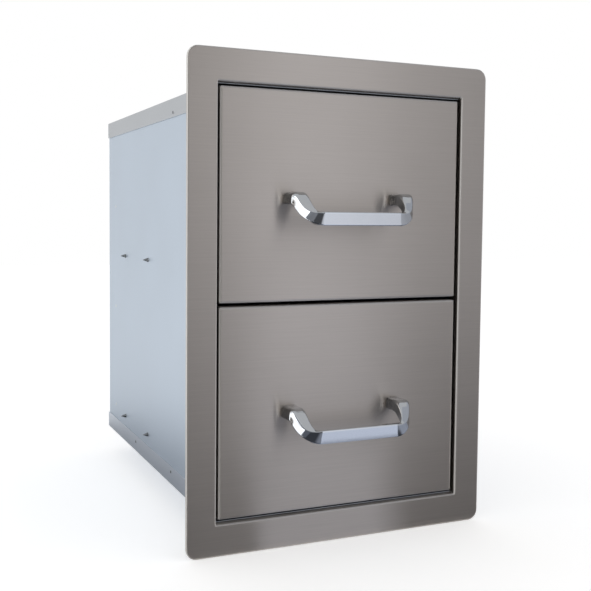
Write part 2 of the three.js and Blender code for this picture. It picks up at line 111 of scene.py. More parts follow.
# %% [markdown]
# ## Small helpers for materials
# A colour on a screen is written in sRGB, and a shader wants it linear, so one function turns a hex
# value into a linear colour. Another fills a node's inputs, by a link where it is given a socket and
# by a value elsewhere. The third adds a node with its settings and inputs in one call, which keeps
# each material short enough to read at a glance, and the last one starts a material.

# %% Helpers for colours and nodes
def linear(hex_colour):
    channels = [int(hex_colour[k:k + 2], 16) / 255 for k in (1, 3, 5)]
    turned = [c / 12.92 if c <= 0.04045 else ((c + 0.055) / 1.055) ** 2.4 for c in channels]
    return (*turned, 1.0)


def feed(owner, node, inputs):
    for name, value in inputs.items():
        socket = node.inputs[name]
        if isinstance(value, bpy.types.NodeSocket):
            owner.node_tree.links.new(value, socket)
        else:
            socket.default_value = value


def add_node(owner, kind, settings=None, inputs=None):
    node = owner.node_tree.nodes.new(kind)
    for name, value in (settings or {}).items():
        setattr(node, name, value)
    feed(owner, node, inputs or {})
    return node


def new_material(name):
    material = bpy.data.materials.new(name)
    material.use_nodes = True
    shader = material.node_tree.nodes["Principled BSDF"]
    return material, shader


print("mid grey turned linear:", round(linear("#808080")[0], 3))

# %% [markdown]
# ## A streaked surface
# Most sheet metal carries lines from how it was rolled or brushed. They can be drawn with a noise
# texture whose space is stretched: long along the grain, short across it. Two layers are used, one
# for the fine lines and one for broad, soft changes that the eye sees from further away.

# %% A function for grain
broad_patch = 120 * mm
patch_weight = 0.5


def grain(material, length, width, contrast_hexes, patch=broad_patch):
    place = add_node(material, "ShaderNodeTexCoord").outputs["Object"]
    stretch = add_node(material, "ShaderNodeMapping", inputs={
        "Vector": place, "Scale": (1 / length, 1 / width, 1 / width)}).outputs["Vector"]
    lines = add_node(material, "ShaderNodeTexNoise", inputs={
        "Vector": stretch, "Scale": 1.0, "Detail": 3.0, "Roughness": 0.6}).outputs["Fac"]
    patches = add_node(material, "ShaderNodeTexNoise", inputs={
        "Vector": place, "Scale": 1 / patch, "Detail": 2.0, "Roughness": 0.5}).outputs["Fac"]
    both = add_node(material, "ShaderNodeMath", {"operation": "MULTIPLY_ADD"}, {
        0: patches, 1: patch_weight, 2: lines}).outputs[0]
    spread = add_node(material, "ShaderNodeMapRange", inputs={
        "Value": both, "From Min": 0.5, "From Max": 1.0}).outputs["Result"]
    dark, light = contrast_hexes
    colour = add_node(material, "ShaderNodeMix", {"data_type": "RGBA"}, {
        "Factor": spread, "A": linear(dark), "B": linear(light)}).outputs["Result"]
    return colour, lines, spread


print("broad patches in mm:", round(broad_patch / mm))

# %% [markdown]
# ## Rubbed and highlit edges
# Every edge and fold of a sheet is touched more than the flats and catches more light, so it is painted a
# little brighter there: partly wear and partly a painted highlight. The bevel node gives the direction of a
# slightly rounded edge. Where that differs from the true one, there is an edge, and the colour goes towards
# a lighter one.

# %% A function for rubbed and highlit edges
edge_wear_and_highlight_radius = 1.2 * mm
edge_wear_and_highlight_samples = 6
edge_wear_and_highlight_share = 0.7


def rubbed_and_highlit_edges(material, colour, light_hex):
    soft = add_node(material, "ShaderNodeBevel", {"samples": edge_wear_and_highlight_samples}, {
        "Radius": edge_wear_and_highlight_radius}).outputs["Normal"]
    sharp = add_node(material, "ShaderNodeNewGeometry").outputs["Normal"]
    likeness = add_node(material, "ShaderNodeVectorMath", {"operation": "DOT_PRODUCT"}, {
        0: soft, 1: sharp}).outputs["Value"]
    wear_and_highlight = add_node(material, "ShaderNodeMapRange", inputs={
        "Value": likeness, "From Min": 0.98, "From Max": 0.8,
        "To Max": edge_wear_and_highlight_share}).outputs["Result"]
    # The lighter edge colour is partly wear and partly a painted highlight.
    return add_node(material, "ShaderNodeMix", {"data_type": "RGBA"}, {
        "Factor": wear_and_highlight, "A": colour, "B": linear(light_hex)}).outputs["Result"]


print("rubbed edges in mm:", round(edge_wear_and_highlight_radius / mm, 1))

# %% [markdown]
# ## Finding the folds
# The folds of the frame and of the fronts were pressed after the sheet was ground, so they look unlike the
# flats, and their lighter colour is a painted highlight. Their faces are the only ones that do not look
# straight along an axis. So the direction of a face tells how much of a fold it is, and, from its parts
# across and ahead, how much of an upright one.

# %% A function for folds
fold_starts = 0.995
fold_full = 0.9


def fold_shares(material):
    facing = add_node(material, "ShaderNodeNewGeometry").outputs["Normal"]
    unsigned = add_node(material, "ShaderNodeVectorMath", {"operation": "ABSOLUTE"}, {
        0: facing}).outputs["Vector"]
    split = add_node(material, "ShaderNodeSeparateXYZ", inputs={"Vector": unsigned})
    wider = add_node(material, "ShaderNodeMath", {"operation": "MAXIMUM"}, {
        0: split.outputs["X"], 1: split.outputs["Y"]}).outputs[0]
    widest = add_node(material, "ShaderNodeMath", {"operation": "MAXIMUM"}, {
        0: wider, 1: split.outputs["Z"]}).outputs[0]
    any_fold = add_node(material, "ShaderNodeMapRange", inputs={
        "Value": widest, "From Min": fold_starts, "From Max": fold_full}).outputs["Result"]
    upright_fold = add_node(material, "ShaderNodeMath", {"operation": "MULTIPLY"}, {
        0: split.outputs["X"], 1: split.outputs["Y"]}).outputs[0]
    return any_fold, upright_fold


print("a face is all fold when turned by degrees:", round(math.degrees(math.acos(fold_full))))

# %% [markdown]
# ## Satin stainless steel
# The face frame and the drawer fronts are stainless sheet, belt-ground across the width and then
# rubbed to a satin. Each scratch runs from side to side, so it spreads light up and down: a bright
# window turns into a tall soft streak. The shader's anisotropy does this, with a tangent that points
# up. Real scratches are about 0.1 mm wide. They are drawn 0.7 mm wide so that they show in a render.
# The folds are more matt, and their lighter colour is a painted highlight. On an upright one the scratches
# cross the bend and stand open, which makes it the dullest. There the shader's metal share goes down, so
# that the fold also takes some of the room's plain light.

# %% Satin stainless steel
grain_length = 70 * mm
grain_width = 0.7 * mm
satin_roughness = (0.31, 0.36)
satin_metal_share = 0.95
satin_anisotropy = 0.93
fold_extra_roughness = 0.3
upright_fold_dulling = 1.3


def satin_stainless():
    material, shader = new_material("satin_ground_stainless_steel")
    ground, lines, _ = grain(material, grain_length, grain_width, ("#B4ACA4", "#BCB4AC"))
    fold, upright_fold = fold_shares(material)
    metal = add_node(material, "ShaderNodeMath", {"operation": "MULTIPLY_ADD"}, {
        0: upright_fold, 1: -upright_fold_dulling, 2: satin_metal_share}).outputs[0]
    # The lighter colour on the folds is a painted highlight.
    colour = add_node(material, "ShaderNodeMix", {"data_type": "RGBA"}, {
        "Factor": fold, "A": ground, "B": linear("#D1CFCC")}).outputs["Result"]
    smooth, coarse = satin_roughness
    flat_rough = add_node(material, "ShaderNodeMapRange", inputs={
        "Value": lines, "From Min": 0.3, "From Max": 0.7, "To Min": smooth, "To Max": coarse})
    rough = add_node(material, "ShaderNodeMath", {"operation": "MULTIPLY_ADD"}, {
        0: fold, 1: fold_extra_roughness, 2: flat_rough.outputs["Result"]})
    upright = add_node(material, "ShaderNodeCombineXYZ", inputs={"Y": 0.05, "Z": 1.0})
    scratches = add_node(material, "ShaderNodeBump", inputs={
        "Height": lines, "Strength": 0.12, "Distance": 0.02 * mm})
    feed(material, shader, {
        "Base Color": colour, "Metallic": metal, "Roughness": rough.outputs[0],
        "Anisotropic": satin_anisotropy, "Tangent": upright.outputs["Vector"],
        "Normal": scratches.outputs["Normal"]})
    return material


satin_steel = satin_stainless()
print("satin steel nodes:", len(satin_steel.node_tree.nodes))

# %% [markdown]
# ## Mill-finish sheet
# The cabinet is plain cold-rolled stainless sheet, left as it came from the mill. It is matt and pale, and
# its bluish tone is painted daylight. Rolling leaves very faint long lines, and handling leaves cloudy
# patches. The folded strips above and below it are one cover sheet and look greyer. The upper strip's copy
# is darkened as painted shade and the lower one's is paler and bluer as painted light, so one function
# makes four sheets from their colours and roughness.

# %% Mill-finish sheets
rolled_line_length = 160 * mm
rolled_line_width = 2.5 * mm
handling_patch = 90 * mm
handling_roughness = 0.04


def mill_finish(name, hexes, roughness):
    material, shader = new_material(name)
    colour, lines, spread = grain(material, rolled_line_length, rolled_line_width, hexes,
                                  patch=handling_patch)
    rough = add_node(material, "ShaderNodeMapRange", inputs={
        "Value": spread, "To Min": roughness - handling_roughness,
        "To Max": roughness + handling_roughness})
    rolled = add_node(material, "ShaderNodeBump", inputs={
        "Height": lines, "Strength": 0.1, "Distance": 0.03 * mm})
    feed(material, shader, {
        "Base Color": rubbed_and_highlit_edges(material, colour, "#D5DADF"), "Metallic": 1.0,
        "Roughness": rough.outputs["Result"], "Normal": rolled.outputs["Normal"]})
    return material


# The cabinet sheet's bluish tone is painted daylight.
cabinet_sheet = mill_finish("mill_finish_cabinet_sheet", ("#B0BAC5", "#B7C1CC"), 0.5)
# The upper strip's copy is darkened as painted shade, the lower strip's is paler and bluer as painted
# light.
cover_sheet_painted_shade = mill_finish("mill_finish_cover_painted_shade", ("#A8ABAF", "#B0B3B6"), 0.45)
low_cover_sheet_painted_light = mill_finish("mill_finish_low_cover_painted_light", ("#C4CAD2", "#CCD2DA"), 0.45)
drawer_sheet = mill_finish("mill_finish_drawer_sheet", ("#ADABA7", "#B5B3AF"), 0.4)
print("mill-finish nodes:", len(cabinet_sheet.node_tree.nodes))

# %% [markdown]
# ## Zinc plate, rolled steel and dark screws
# Ball slides are cold-rolled steel with a thin bright zinc plate, which has a faint blue and yellow
# bloom where the plating is thicker. The ball cages are thinner plain steel. The screws that hold the
# slides are dark, as hardened screws are. One function makes all three from their colours.

# %% Plated and plain steel
plating_bloom = 8 * mm
screw_bloom = 2 * mm
bloom_roughness = 0.06


def plated_steel(name, hexes, roughness, bloom):
    material, shader = new_material(name)
    place = add_node(material, "ShaderNodeTexCoord").outputs["Object"]
    cloud = add_node(material, "ShaderNodeTexNoise", inputs={
        "Vector": place, "Scale": 1 / bloom, "Detail": 3.0}).outputs["Fac"]
    dark, light = hexes
    colour = add_node(material, "ShaderNodeMix", {"data_type": "RGBA"}, {
        "Factor": cloud, "A": linear(dark), "B": linear(light)}).outputs["Result"]
    rough = add_node(material, "ShaderNodeMapRange", inputs={
        "Value": cloud, "To Min": roughness - bloom_roughness,
        "To Max": roughness + bloom_roughness})
    pits = add_node(material, "ShaderNodeBump", inputs={
        "Height": cloud, "Strength": 0.15, "Distance": 0.05 * mm})
    feed(material, shader, {
        "Base Color": rubbed_and_highlit_edges(material, colour, "#D0D2D2"), "Metallic": 1.0,
        "Roughness": rough.outputs["Result"], "Normal": pits.outputs["Normal"]})
    return material


zinc_plate = plated_steel("bright_zinc_plated_steel", ("#B3B9BF", "#C4C2B4"), 0.3, plating_bloom)
rolled_cage = plated_steel("rolled_cage_steel", ("#8A8D90", "#989B9E"), 0.36, plating_bloom)
dark_screw = plated_steel("hardened_screw_steel", ("#4E5254", "#6A6E70"), 0.34, screw_bloom)
print("plating bloom in mm:", round(plating_bloom / mm), "on screws:", round(screw_bloom / mm))

# %% [markdown]
# ## Chrome plate
# The handles are cast, polished and chrome-plated. Polished chrome is a mirror, and all that the eye
# sees on it is what stands round it. It needs almost no texture of its own: a very low roughness, with
# a trace of polishing haze in it.

# %% Polished chrome
polishing_haze = 12 * mm
chrome_roughness = (0.05, 0.09)


def polished_chrome():
    material, shader = new_material("polished_chrome_plate")
    place = add_node(material, "ShaderNodeTexCoord").outputs["Object"]
    haze = add_node(material, "ShaderNodeTexNoise", inputs={
        "Vector": place, "Scale": 1 / polishing_haze, "Detail": 4.0}).outputs["Fac"]
    clear, hazy = chrome_roughness
    rough = add_node(material, "ShaderNodeMapRange", inputs={
        "Value": haze, "From Min": 0.3, "From Max": 0.7, "To Min": clear, "To Max": hazy})
    tone = add_node(material, "ShaderNodeMix", {"data_type": "RGBA"}, {
        "Factor": haze, "A": linear("#C5C9CE"), "B": linear("#CDD0D4")}).outputs["Result"]
    feed(material, shader, {
        "Base Color": tone, "Metallic": 1.0, "Roughness": rough.outputs["Result"]})
    return material


chrome = polished_chrome()
print("chrome roughness:", chrome_roughness)

# %% [markdown]
# ## Give each solid its finish
# A solid's own material slots are filled, and its shape is left alone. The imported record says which
# slot each solid belongs to, so a short table from slot to material dresses all of them.

# %% Dress the solids
finish_of_slot = {
    "face_steel": satin_steel, "cabinet_steel": cabinet_sheet, "strip_steel": cover_sheet_painted_shade,
    "drawer_steel": drawer_sheet, "rail_zinc": zinc_plate, "cage_steel": rolled_cage,
    "handle_chrome": chrome, "screw_steel": dark_screw,
}
slot_of_node = {part["node"]: part["material_slot"] for part in frame["record"]["subparts"]}
for name, solid in nodes.items():
    solid.data.materials.clear()
    solid.data.materials.append(finish_of_slot[slot_of_node[name]])
# The lower strip takes the paler copy of the cover sheet, which is painted light.
nodes["bottom_panel"].data.materials[0] = low_cover_sheet_painted_light
print("finishes:", len(set(slot_of_node.values())))

# %% [markdown]
# ## Making a piece from rings
# Handles, screws and rivets are all a stack of rings joined by faces. One function takes the rings as lists
# of points, joins each ring to the next and closes the two ends. Smooth shading with weighted normals
# keeps flat faces flat, while the narrow rounded edges between them turn smoothly.

# %% A skin over rings
def piece_from_rings(name, rings, material, body, replaced=()):
    mesh = bpy.data.meshes.new(name)
    shape = bmesh.new()
    grid = [[shape.verts.new(point) for point in ring] for ring in rings]
    for ring, following in zip(grid, grid[1:]):
        for k in range(len(ring)):
            after = (k + 1) % len(ring)
            shape.faces.new((ring[k], ring[after], following[after], following[k]))
    shape.faces.new(grid[0])
    shape.faces.new(grid[-1])
    bmesh.ops.recalc_face_normals(shape, faces=shape.faces)
    for face in shape.faces:
        face.smooth = True
    shape.to_mesh(mesh)
    shape.free()
    mesh.materials.append(material)
    piece = bpy.data.objects.new(name, mesh)
    bpy.context.scene.collection.objects.link(piece)
    piece.modifiers.new("flat_faces_stay_flat", "WEIGHTED_NORMAL")
    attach(piece, body)
    if replaced:
        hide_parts(*replaced)
    return piece


# %% [markdown]
# ## The polished handles
# A bow handle is one casting. Each arm leaves a block-like foot, runs straight out, then turns a
# rounded knee while it drops, and ends in a tall, thin bar. The CAD solid has the same line in few
# flat faces. Polished metal shows every facet, so the handle is made again with many narrow rings
# along the same line. First comes that line, as a function that gives the middle of the arm for a
# share between 0 at the foot and 1 at the bar.

# %% The handle's line
handle_reach = 46.4 * mm
handle_drop = 23.0 * mm
foot_thickness = 18.5 * mm
foot_height = 13.7 * mm
bar_thickness = 5.8 * mm
bar_height = 15.3 * mm
bar_straight = 103.8 * mm
knee_depth = 25.5 * mm
across_power = 0.664
depth_power = 0.977
drop_share = 1.097
arm_sag = 2.3 * mm
nose = 0.67 * mm
nose_run = 9.2 * mm
arm_steps = 44


def eased(share):
    share = min(max(share, 0), 1)
    return share * share * (3 - 2 * share)


def between(first, second, share):
    return first + (second - first) * share


def arm_point(share, half_spread):
    angle = share * math.pi / 2
    straight = handle_reach - bar_thickness / 2 - knee_depth - nose
    width = half_spread - bar_straight / 2
    across = bar_straight / 2 + width * max(math.cos(angle), 0) ** across_power
    forward = nose * max(0, 1 - (across - bar_straight / 2) / nose_run)
    out = straight + knee_depth * math.sin(angle) ** depth_power + forward
    down = handle_drop * eased(share / drop_share) + arm_sag * math.sin(math.pi * share) ** 2
    return Vector((across, -out, -down))


print("the handle stands out by mm:", round(handle_reach / mm, 1))

# %% [markdown]
# ## The handle's outer face
# The outer face turns away from the foot at a distinct angle, which is where its bright reflection
# starts. An offset from the middle line would lose that edge, so the outer face follows a curve of its
# own, a cubic with four control points: two ends, and a pull at each end that sets its direction.

# %% The outer face's line
side_length = 22.0 * mm
side_turn = math.radians(30.9)
side_pull = 8.1 * mm
bar_turn = math.radians(8.5)
bar_pull = 19.0 * mm
outer_straight = 95.0 * mm
outer_drop = 0.5 * mm


def outer_point(share, half_spread):
    start = Vector((half_spread + foot_thickness / 2, -side_length, 0))
    end = Vector((outer_straight / 2, -handle_reach, 0))
    leave = start - Vector((math.sin(side_turn), math.cos(side_turn), 0)) * side_pull
    arrive = end + Vector((math.cos(bar_turn), math.sin(bar_turn), 0)) * bar_pull
    first, second, third = (start.lerp(leave, share), leave.lerp(arrive, share),
                            arrive.lerp(end, share))
    point = first.lerp(second, share).lerp(second.lerp(third, share), share)
    point.z = arm_point(share, half_spread).z - outer_drop * math.sin(math.pi * share)
    return point


print("the flat front of the bar in mm:", round(outer_straight / mm, 1))

# %% [markdown]
# ## The handle's section
# The section changes on the way: the foot has an arched top, the arm's top slopes down to a crease on
# the outside, and the bar is flat in front with a rounded upper edge. Each section is four corners,
# and each corner is cut back and rounded with a short curve, so one function serves the whole arm.

# %% The handle's section
foot_crown = 4.3 * mm
foot_outer_crown = 7.2 * mm
bar_crown = 2.3 * mm
crease = 3.4 * mm
arm_slope = 5.0 * mm
arm_swell = 0.3 * mm
arm_lean = 2.0 * mm
bar_inner_edge = 1.5 * mm
lower_edge = 1.5 * mm
edge_steps = 4


def rounded_corner(before, corner, after, cut):
    start = corner + (before - corner).normalized() * cut
    end = corner + (after - corner).normalized() * cut
    shares = [k / edge_steps for k in range(edge_steps + 1)]
    return [start.lerp(corner, share).lerp(corner.lerp(end, share), share) for share in shares]


def handle_section(centre, outer, heading, share):
    ease = eased(share)
    swell = math.sin(math.pi * share)
    top = between(foot_height, bar_height, ease) / 2
    bottom = -top - arm_swell * swell
    tall = (Vector((0, 0, 1)) - heading * heading.z).normalized()
    thick = heading.cross(tall)
    inner = centre + thick * between(foot_thickness, bar_thickness, ease) / 2
    corners = [inner + tall * top, outer + tall * (top - arm_slope * swell),
               outer - thick * arm_lean * swell + tall * bottom, inner + tall * bottom]
    cuts = (between(foot_crown, bar_inner_edge, ease),
            between(foot_outer_crown, bar_crown, ease) - crease * swell, lower_edge, lower_edge)
    ring = []
    for k in range(len(corners)):
        after = corners[(k + 1) % len(corners)]
        ring += rounded_corner(corners[k - 1], corners[k], after, cuts[k])
    return ring


print("points round each corner:", edge_steps + 1)

# %% [markdown]
# ## Cast both handles
# The sections of the right arm are placed along the line, square to its direction, and mirrored for
# the left arm. The bar is the long span between the last ring of one arm and the first of the other.
# The spacing of the arms is read from the screws that hold the handle.

# %% Cast both handles
tiny_share = 1e-4


def arm_stations(half_spread):
    foot = Vector((half_spread, 0, 0))
    foot_outer = Vector((half_spread + foot_thickness / 2, 0, 0))
    stations = [(foot, foot_outer, Vector((0, -1, 0)), 0.0)]
    for k in range(arm_steps + 1):
        share = k / arm_steps
        before = arm_point(max(share - tiny_share, 0), half_spread)
        after = arm_point(min(share + tiny_share, 1), half_spread)
        stations.append((arm_point(share, half_spread), outer_point(share, half_spread),
                         (after - before).normalized(), share))
    return stations


def mirrored(ring):
    return [Vector((-point.x, point.y, point.z)) for point in ring]


for level in levels:
    foot_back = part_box(f"{level}_handle")[1].y
    screw_low, screw_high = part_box(f"{level}_handle_screw_right")
    screw_axis = (screw_low + screw_high) / 2
    half_spread = screw_axis.x
    place = Vector((0, foot_back, screw_axis.z))
    right = [handle_section(*station) for station in arm_stations(half_spread)]
    left = [mirrored(ring) for ring in reversed(right)]
    rings = [[point + place for point in ring] for ring in right + left]
    handle = piece_from_rings(f"{level}_polished_handle", rings, chrome,
                              f"{level}_drawer", [f"{level}_handle"])
    print(handle.name, "faces:", len(handle.data.polygons))

# %% [markdown]
# ## Threads and cross recesses
# The points of the slide screws stand out of the cabinet's sides, where their threads show. A thread
# is a ridge that climbs as it goes round, so its height at a point follows from the turns up to there.
# The head is low and domed, and a cross is pressed into it for the driver: where a point of the head
# falls inside the cross, it is moved down. Both are plain functions, which the next step uses.

# %% Threads and cross recesses
round_sides = 24
crest_sharpness = 1.6
cross_reach = 0.6
cross_arm = 0.17
cross_depth = 0.55


def round_spoke(outward, angle, radius):
    up = Vector((0, 0, 1))
    across = outward.cross(up)
    return up * math.cos(angle) * radius + across * math.sin(angle) * radius


def thread_height(turns):
    ridge = abs((turns % 1) * 2 - 1)
    return max(0.0, 1 - crest_sharpness * ridge)


def cross_recess(radius, angle):
    nearest_arm = min(abs(radius * math.cos(angle)), abs(radius * math.sin(angle)))
    return cross_depth if nearest_arm < cross_arm and radius < cross_reach else 0.0


print("share of the head's radius that the cross reaches:", cross_reach)

# %% [markdown]
# ## The rings of a screw
# A screw is drawn out of rings from the middle of its head to its tip. On the shank, eight rings to a
# turn get a radius that depends on both the height and the angle, which makes the ridge climb. The
# ridge fades out on the point. CAD has the same screws with a plain head and shank, and each is
# replaced where it stands.

# %% The rings of a screw
rings_per_turn = 8
thread_depth = 0.45 * mm
blunt_tip_share = 0.06
head_profile = [(0.05, 0), (0.2, 0.01), (0.34, 0.03), (0.48, 0.06), (0.58, 0.1), (0.64, 0.13),
                (0.78, 0.24), (0.9, 0.42), (0.98, 0.7), (1.0, 1.0)]


def screw_rings(top, direction, head, shank_radius, length, point_length, pitch):
    head_radius, head_height = head

    def ring(radius_and_depth):
        points = []
        for k in range(round_sides):
            share = k / round_sides
            angle = share * 2 * math.pi
            radius, depth = radius_and_depth(share, angle)
            points.append(top + direction * depth + round_spoke(direction, angle, radius))
        return points

    rings = [ring(lambda _, angle, r=radius, d=drop: (
        head_radius * r, head_height * (d + cross_recess(r, angle)))) for radius, drop in head_profile]
    count = int(length / pitch * rings_per_turn)
    for k in range(count + 1):
        distance = length * k / count
        taper = min(1.0, (length - distance) / point_length)
        core = (shank_radius - thread_depth) * max(taper, blunt_tip_share)
        ridge = thread_depth * min(1.0, taper * 2)
        rings.append(ring(lambda share, _, d=distance, c=core, r=ridge: (
            c + r * thread_height(d / pitch - share), head_height + d)))
    return rings


print("rings in a screw's head:", len(head_profile))

# %% [markdown]
# ## The slide screws
# Each outer rail is held by three screws with sharp points, such as are driven into sheet. Their
# places and lengths are read from the solids, and each screw points outwards from its rail.

# %% Thread the slide screws
rail_screw_head = (3.9 * mm, 1.3 * mm)
rail_screw_shank = 2.8 * mm
rail_screw_point = 6.5 * mm
rail_screw_pitch = 1.6 * mm
rail_screw_places = ("front", "middle", "rear")
for level in levels:
    for side, sign in sides.items():
        for place in rail_screw_places:
            node = f"{level}_rail_screw_{side}_{place}"
            low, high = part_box(node)
            centre = (low + high) / 2
            head_end = low.x if sign > 0 else high.x
            rings = screw_rings(Vector((head_end, centre.y, centre.z)), Vector((sign, 0, 0)),
                                rail_screw_head, rail_screw_shank,
                                high.x - low.x - rail_screw_head[1], rail_screw_point,
                                rail_screw_pitch)
            piece_from_rings(f"{level}_threaded_screw_{side}_{place}", rings, dark_screw,
                             "cabinet", [node])
print("threaded slide screws:", len(levels) * len(sides) * len(rail_screw_places))

# %% [markdown]
# ## The handle screws
# A handle screw is a machine screw: its thread is finer and its end is flat, with a small taper. It
# comes from inside the drawer's front and ends in the handle's foot.

# %% Thread the handle screws
handle_screw_head = (3.9 * mm, 2.3 * mm)
handle_screw_shank = 2.0 * mm
handle_screw_end = 0.8 * mm
handle_screw_pitch = 1.0 * mm
for level in levels:
    for side in sides:
        node = f"{level}_handle_screw_{side}"
        low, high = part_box(node)
        centre = (low + high) / 2
        rings = screw_rings(Vector((centre.x, high.y, centre.z)), Vector((0, -1, 0)),
                            handle_screw_head, handle_screw_shank,
                            high.y - low.y - handle_screw_head[1], handle_screw_end,
                            handle_screw_pitch)
        piece_from_rings(f"{level}_threaded_handle_screw_{side}", rings, zinc_plate,
                         f"{level}_drawer", [node])
print("threaded handle screws:", len(levels) * len(sides))

# %% [markdown]
# ## Small fasteners
# The cover panels are riveted to the side panels, and the inner rails to the drawer boxes. A rivet
# head is a low dome with a small pit where its stem broke off. It is turned from a short profile.

# %% Rivets
rivet_sunk = 0.2 * mm
rivet_radius = 2.0 * mm
rivet_height = 0.7 * mm


def turned(profile, centre, outward, name, material, slot, body):
    angles = [k / round_sides * 2 * math.pi for k in range(round_sides)]
    rings = [[centre + outward * rise + round_spoke(outward, angle, radius) for angle in angles]
             for radius, rise in profile]
    piece_from_rings(name, rings, material, body)


def rivet_profile(radius, height):
    return [(radius, -rivet_sunk), (radius, 0.0), (radius * 0.94, height * 0.45),
            (radius * 0.75, height * 0.85), (radius * 0.45, height), (radius * 0.36, height * 0.55),
            (radius * 0.1, height * 0.5)]


strip_rivets = {"bottom_front": ("bottom_panel", 161.4 * mm, 48.4 * mm),
                "bottom_rear": ("bottom_panel", 339.5 * mm, 46.1 * mm),
                "top_front": ("top_panel", 155.4 * mm, 499.0 * mm)}
for side, sign in sides.items():
    for where, (panel, y, z) in strip_rivets.items():
        low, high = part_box(panel)
        x = low.x if sign < 0 else high.x
        turned(rivet_profile(rivet_radius, rivet_height), Vector((x, y, z)), Vector((sign, 0, 0)),
               f"{where}_rivet_{side}", dark_screw, "screw_steel", "cabinet")
print("rivets in the cover panels:", len(sides) * len(strip_rivets))

# %% [markdown]
# ## Spot welds
# The side panels are spot-welded at the rear, where the back panel's edges turn forward inside them.
# A weld leaves a small shallow ring where the electrode pressed, a little brighter than the sheet
# round it. Its distance from the back was measured in the picture.

# %% Spot welds on the side panels
weld_radius = 2.2 * mm
weld_sunk = 0.1 * mm
weld_height = 0.25 * mm
weld_from_back = 44.3 * mm
weld_shares = (0.09, 0.41, 0.73)
weld_profile = [(weld_radius, -weld_sunk), (weld_radius, 0.0), (weld_radius * 0.85, weld_height),
                (weld_radius * 0.6, weld_height), (weld_radius * 0.45, weld_height * 0.3),
                (weld_radius * 0.1, weld_height * 0.2)]
for side, sign in sides.items():
    low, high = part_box(f"side_panel_{side}")
    x = low.x if sign < 0 else high.x
    for number, share in enumerate(weld_shares):
        z = between(low.z, high.z, share)
        turned(weld_profile, Vector((x, high.y - weld_from_back, z)), Vector((sign, 0, 0)),
               f"spot_weld_{side}_{number}", zinc_plate, "cabinet_steel", "cabinet")
print("spot welds:", len(sides) * len(weld_shares))

# %% [markdown]
# ## Rivets inside the drawers
# Each inner rail is riveted through the drawer's side, and the heads show inside the box. They stand
# four steps of the rails' 32 mm hole pattern apart.

# %% Fasteners inside the drawers
inner_rail_rivets_y = (52 * mm, 180 * mm, 308 * mm, 436 * mm)
rail_rivet_radius = 3.2 * mm
rail_rivet_height = 0.9 * mm
drawer_sheet_thickness = 0.8 * mm
drawer_hem = 2.0 * mm
for level in levels:
    for side, sign in sides.items():
        low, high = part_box(f"{level}_inner_rail_{side}")
        outer_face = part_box(f"{level}_box_side_{side}")[1 if sign > 0 else 0].x
        inner_face = outer_face - sign * (drawer_hem + drawer_sheet_thickness)
        middle_z = (low.z + high.z) / 2
        for number, y in enumerate(inner_rail_rivets_y):
            turned(rivet_profile(rail_rivet_radius, rail_rivet_height),
                   Vector((inner_face, y, middle_z)), Vector((-sign, 0, 0)),
                   f"{level}_rail_rivet_{side}_{number}", zinc_plate, "rail_zinc",
                   f"{level}_drawer")
print("rivets in each drawer:", len(sides) * len(inner_rail_rivets_y))

# %% [markdown]
# ## A white world
# The room is white. The light path node tells what kind of ray asks: the camera and reflections see
# full white, while the light that falls on matt surfaces is a little weaker, so that pale surfaces
# keep their colour.

# %% White world
world_light_level = 0.75
world = bpy.data.worlds.new("white_room")
bpy.context.scene.world = world
world.use_nodes = True
ray = add_node(world, "ShaderNodeLightPath").outputs
direct = add_node(world, "ShaderNodeMath", {"operation": "MAXIMUM"}, {
    0: ray["Is Camera Ray"], 1: ray["Is Glossy Ray"]}).outputs[0]
full_white = add_node(world, "ShaderNodeMath", {"operation": "MAXIMUM"}, {
    0: direct, 1: ray["Is Transmission Ray"]}).outputs[0]
strength = add_node(world, "ShaderNodeMapRange", inputs={
    "Value": full_white, "To Min": world_light_level, "To Max": 1.0}).outputs["Result"]
feed(world, world.node_tree.nodes["Background"], {
    "Color": linear("#FFFFFF"), "Strength": strength})
print("world light on matt surfaces:", world_light_level)

# %% [markdown]
# ## A pale floor
# The floor is matt white paint. It glows a little, so that it looks as white as the room behind it
# while it still takes the unit's soft shadow.

# %% Pale floor
floor_size = 12.0
floor_gap = 0.5 * mm
floor_glow = 0.35
floor_level = cad_low.z - floor_gap


def flat_sheet(name, corners, material):
    mesh = bpy.data.meshes.new(name)
    mesh.from_pydata([Vector(corner) for corner in corners], [], [(0, 1, 2, 3)])
    mesh.materials.append(material)
    sheet = bpy.data.objects.new(name, mesh)
    bpy.context.scene.collection.objects.link(sheet)
    return sheet


def pale_floor():
    material, shader = new_material("white_painted_floor")
    feed(material, shader, {"Base Color": linear("#FAFAFA"), "Roughness": 0.9,
                            "Specular IOR Level": 0.1, "Emission Color": linear("#FFFFFF"),
                            "Emission Strength": floor_glow})
    return material


half = floor_size / 2
flat_sheet("floor", [(-half, -half, floor_level), (half, -half, floor_level),
                     (half, half, floor_level), (-half, half, floor_level)], pale_floor())
print("floor level in mm:", round(floor_level / mm, 1))

# %% [markdown]
# ## Grey paper cards
# Metal shows what is round it, so a photographer sets grey cards about it: without them brushed steel
# would look like plain grey paint. The cards are seen only in reflections. A card's material gives off
# light of its own grey, so it needs no lamp.

# %% Grey cards
white = (1, 1, 1)
wall_tint = Vector((0.95, 0.98, 1.05))
table_tint = Vector((0.9, 0.96, 1.12))


def only_in_reflections(card):
    card.visible_camera = False
    card.visible_diffuse = False
    card.visible_transmission = False
    card.visible_volume_scatter = False
    card.visible_shadow = False


def flat_card(name, corners, material):
    only_in_reflections(flat_sheet(name, corners, material))


